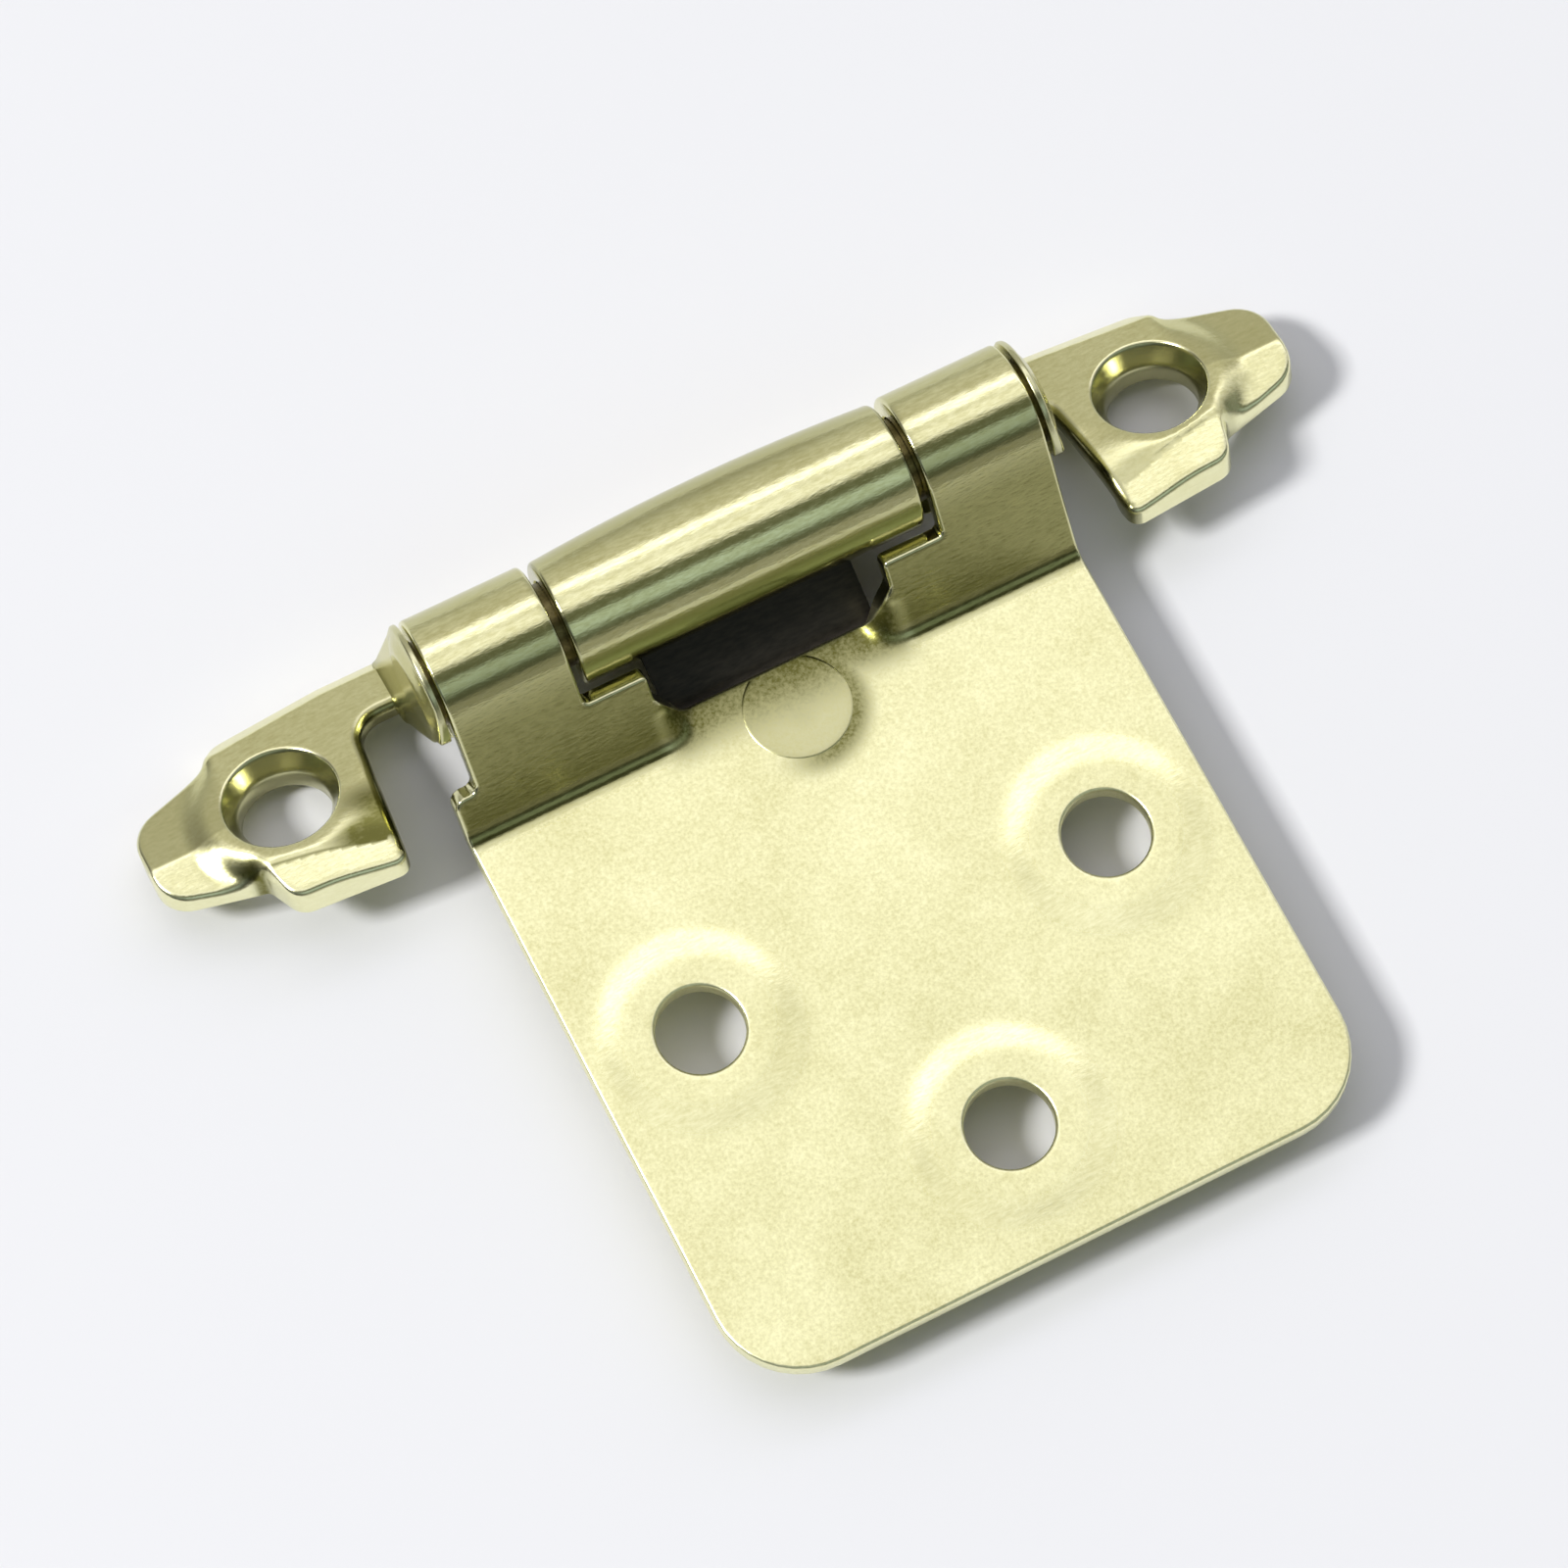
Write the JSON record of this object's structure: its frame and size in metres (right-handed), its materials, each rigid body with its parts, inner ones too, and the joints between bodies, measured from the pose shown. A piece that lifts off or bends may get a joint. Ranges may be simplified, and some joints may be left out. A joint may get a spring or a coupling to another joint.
{
  "type": "self-closing cabinet hinge",
  "caption": "Face-mount self-closing cabinet hinge with a flat door leaf, rolled knuckles on a pin, and a stamped frame wing with finial ears; a riveted spring strip snaps it shut.",
  "frame": {"origin": "middle between the frame wing's two screw holes, on the wing's mounting face", "axes": "+X along the pin, -Y towards the door leaf's far edge, +Z out of the level door leaf's upper face"},
  "size_m": [0.071, 0.0486, 0.0128],
  "materials": {
    "leaf_plating": "satin pale brass plating on steel sheet",
    "wing_plating": "satin pale brass plating on steel sheet",
    "pin_plating": "smooth pale brass plating on a steel pin",
    "spring_steel": "dark blued spring steel strip",
    "rivet_plating": "satin pale brass plating, pressed flush"
  },
  "bodies": {
    "wing": {"frame_wing": "wing_plating", "hinge_pin": "pin_plating"},
    "leaf": {"door_leaf": "leaf_plating", "closing_spring": "spring_steel", "spring_rivet": "rivet_plating"}
  },
  "joints": [
    {"name": "leaf_swing", "type": "hinge", "parent": "wing", "child": "leaf", "pos_m": [0, 0.00145, 0.00689], "axis": [-1, 0, 0], "range_deg": [0, 128]}
  ]
}
